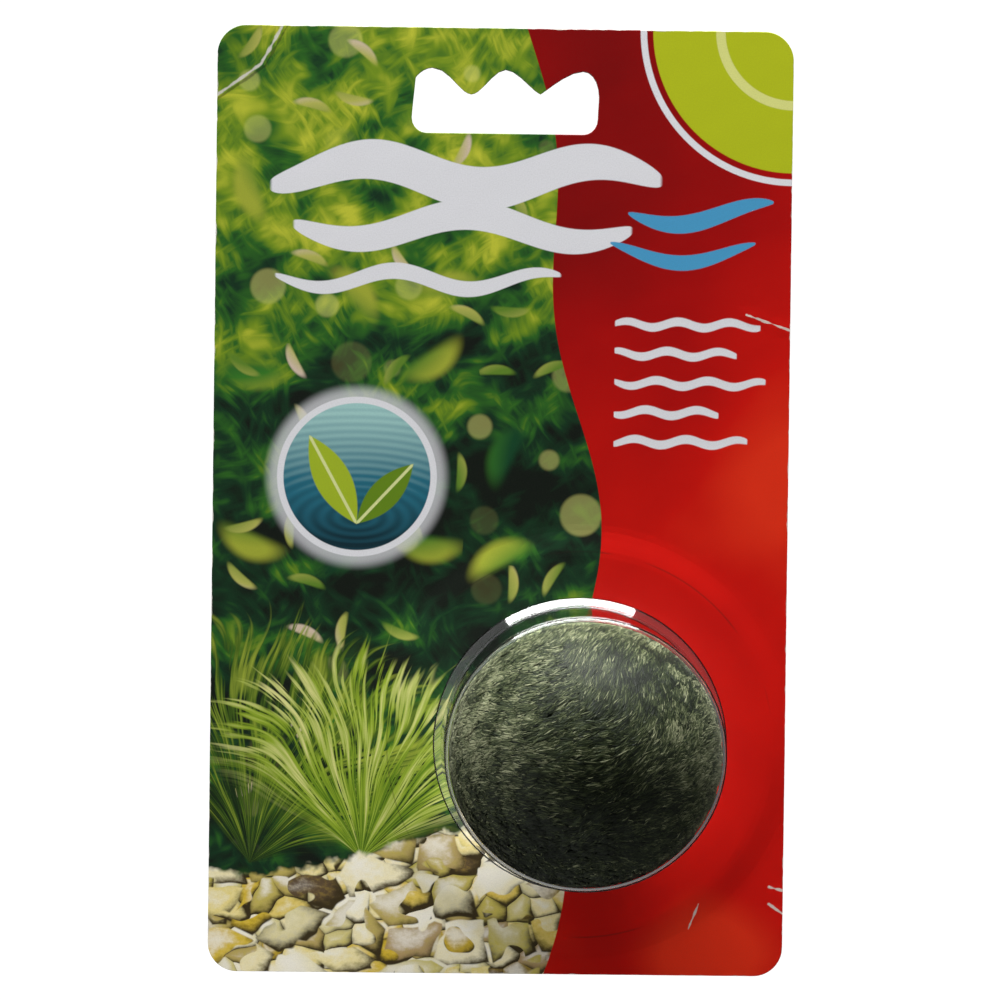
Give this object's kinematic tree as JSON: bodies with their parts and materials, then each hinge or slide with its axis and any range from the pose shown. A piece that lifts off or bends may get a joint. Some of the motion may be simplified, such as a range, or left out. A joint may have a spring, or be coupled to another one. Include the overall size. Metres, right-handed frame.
{
  "type": "marimo moss ball in a blister pack",
  "caption": "Moss ball with a combed pile, held by a clear round collar on a printed card with rounded corners and a hang hole.",
  "frame": {"origin": "middle of the card's back face, on the surface that the pack lies on", "axes": "+Z out of the printed face, +Y up the card towards the hang hole, +X to the right of the printed face"},
  "size_m": [0.098, 0.161, 0.0464],
  "materials": {
    "printed_board": "gloss-laminated colour print in greens and red",
    "plain_board": "uncoated pale board",
    "clear_plastic": "clear, glossy, thermoformed",
    "moss_pile": "short combed grey-green pile"
  },
  "bodies": {
    "root": {"card_front": "printed_board", "card_back": "plain_board", "blister": "clear_plastic", "moss_ball": "moss_pile"}
  },
  "joints": []
}
